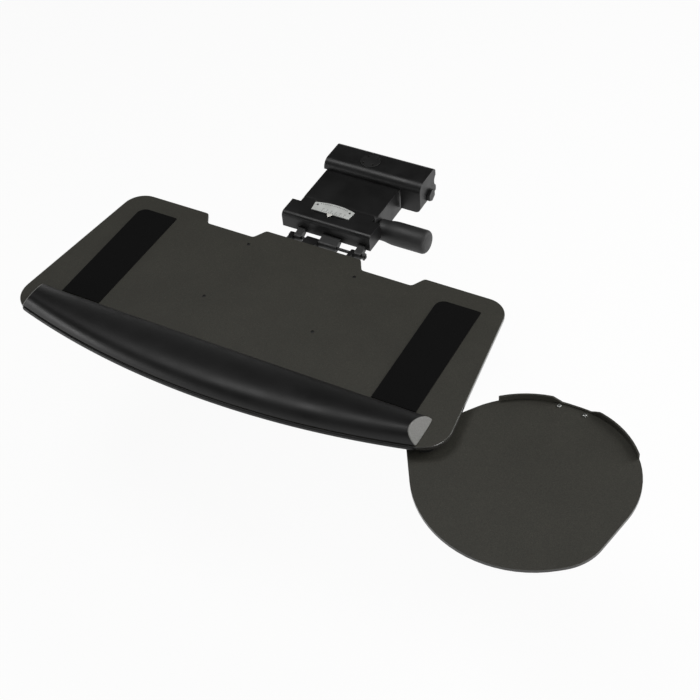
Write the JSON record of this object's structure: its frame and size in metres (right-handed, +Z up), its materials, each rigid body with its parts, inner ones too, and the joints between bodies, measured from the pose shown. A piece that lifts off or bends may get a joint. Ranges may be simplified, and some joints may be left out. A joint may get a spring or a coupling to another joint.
{
  "type": "keyboard tray under desk",
  "caption": "Under-desk keyboard tray: swivelling lift arm, tilting board with palm rest and pads, and a lower round mouse board on a swivel stud.",
  "frame": {"origin": "centre of the swivel hub's top face", "axes": "+Z up out of the hub's top face, +X to the user's right, +Y towards the back"},
  "size_m": [0.8834, 0.5825, 0.0632],
  "materials": {
    "laminate_board": "matt",
    "palm_skin": "satin",
    "nonskid_rubber": "matt",
    "black_moulding": "satin",
    "soft_grip": "satin",
    "black_steel": "semi-gloss",
    "plated_steel": "satin",
    "bearing_plastic": "satin",
    "gauge_face": "satin",
    "pointer_plastic": "satin"
  },
  "bodies": {
    "hub": {"swivel_hub": "black_steel", "hub_nut": "plated_steel"},
    "swivel": {"thrust_washer": "bearing_plastic", "swivel_bush": "bearing_plastic", "lower_washer": "plated_steel", "pivot_bracket": "black_steel", "rear_cover": "black_moulding", "cover_screws": "plated_steel", "lift_bolt": "black_steel", "lift_nut": "plated_steel", "spring_sleeve": "bearing_plastic", "lift_spring": "plated_steel", "rear_link_pins": "plated_steel"},
    "arm": {"upper_arm": "black_steel", "arm_cover": "black_moulding"},
    "link": {"lower_link": "black_steel"},
    "head": {"tilt_frame": "black_steel", "head_cover": "black_moulding", "front_pivot_pin": "plated_steel", "front_link_pins": "plated_steel", "hinge_rod": "black_steel", "rod_clips": "black_steel", "gauge_plate": "gauge_face", "head_screws": "plated_steel"},
    "pointer": {"gauge_pointer": "pointer_plastic"},
    "tray": {"tilt_bracket": "black_steel", "keyboard_platform": "laminate_board", "palm_rest": "palm_skin", "left_pad": "nonskid_rubber", "right_pad": "nonskid_rubber", "platform_screws": "black_steel", "mouse_bracket": "black_steel", "mouse_bracket_screws": "plated_steel", "mouse_stud": "plated_steel", "mouse_spacer": "bearing_plastic", "mouse_washer": "plated_steel", "mouse_nut": "plated_steel"},
    "knob": {"lock_knob": "soft_grip", "knob_shaft": "plated_steel", "knob_washer": "plated_steel"},
    "mouse": {"mouse_platform": "laminate_board", "mouse_guard": "laminate_board", "mouse_bush": "bearing_plastic"}
  },
  "joints": [
    {"name": "swivel", "type": "hinge", "parent": "hub", "child": "swivel", "pos_m": [0, 0, -0.0058], "axis": [0, 0, 1], "continuous": true},
    {"name": "lift", "type": "hinge", "parent": "swivel", "child": "arm", "pos_m": [0, 0.003, -0.0358], "axis": [1, 0, 0], "range_deg": [0, 40], "deforming": ["lift_spring"]},
    {"name": "link", "type": "hinge", "parent": "swivel", "child": "link", "pos_m": [0, 0.003, -0.0518], "axis": [1, 0, 0], "range_deg": [0, 40]},
    {"name": "level", "type": "hinge", "parent": "arm", "child": "head", "pos_m": [0, -0.091, -0.0398], "axis": [1, 0, 0], "range_deg": [-40, 0]},
    {"name": "tilt", "type": "hinge", "parent": "head", "child": "tray", "pos_m": [0, -0.154, -0.0398], "axis": [1, 0, 0], "range_deg": [-10, 15]},
    {"name": "pointer", "type": "slide", "parent": "head", "child": "pointer", "axis": [1, 0, 0], "range_m": [-0.014, 0.021]},
    {"name": "knob", "type": "hinge", "parent": "arm", "child": "knob", "pos_m": [0, -0.091, -0.0398], "axis": [1, 0, 0], "continuous": true},
    {"name": "mouse_swing", "type": "hinge", "parent": "tray", "child": "mouse", "pos_m": [0.2955, -0.426, -0.0456], "axis": [0, 0, 1], "range_deg": [-60, 90]}
  ],
  "couplings": [
    {"joint": "link", "follows": "lift", "ratio": 1},
    {"joint": "level", "follows": "lift", "ratio": -1},
    {"joint": "pointer", "follows": "tilt", "m_per_rad": 0.08}
  ]
}
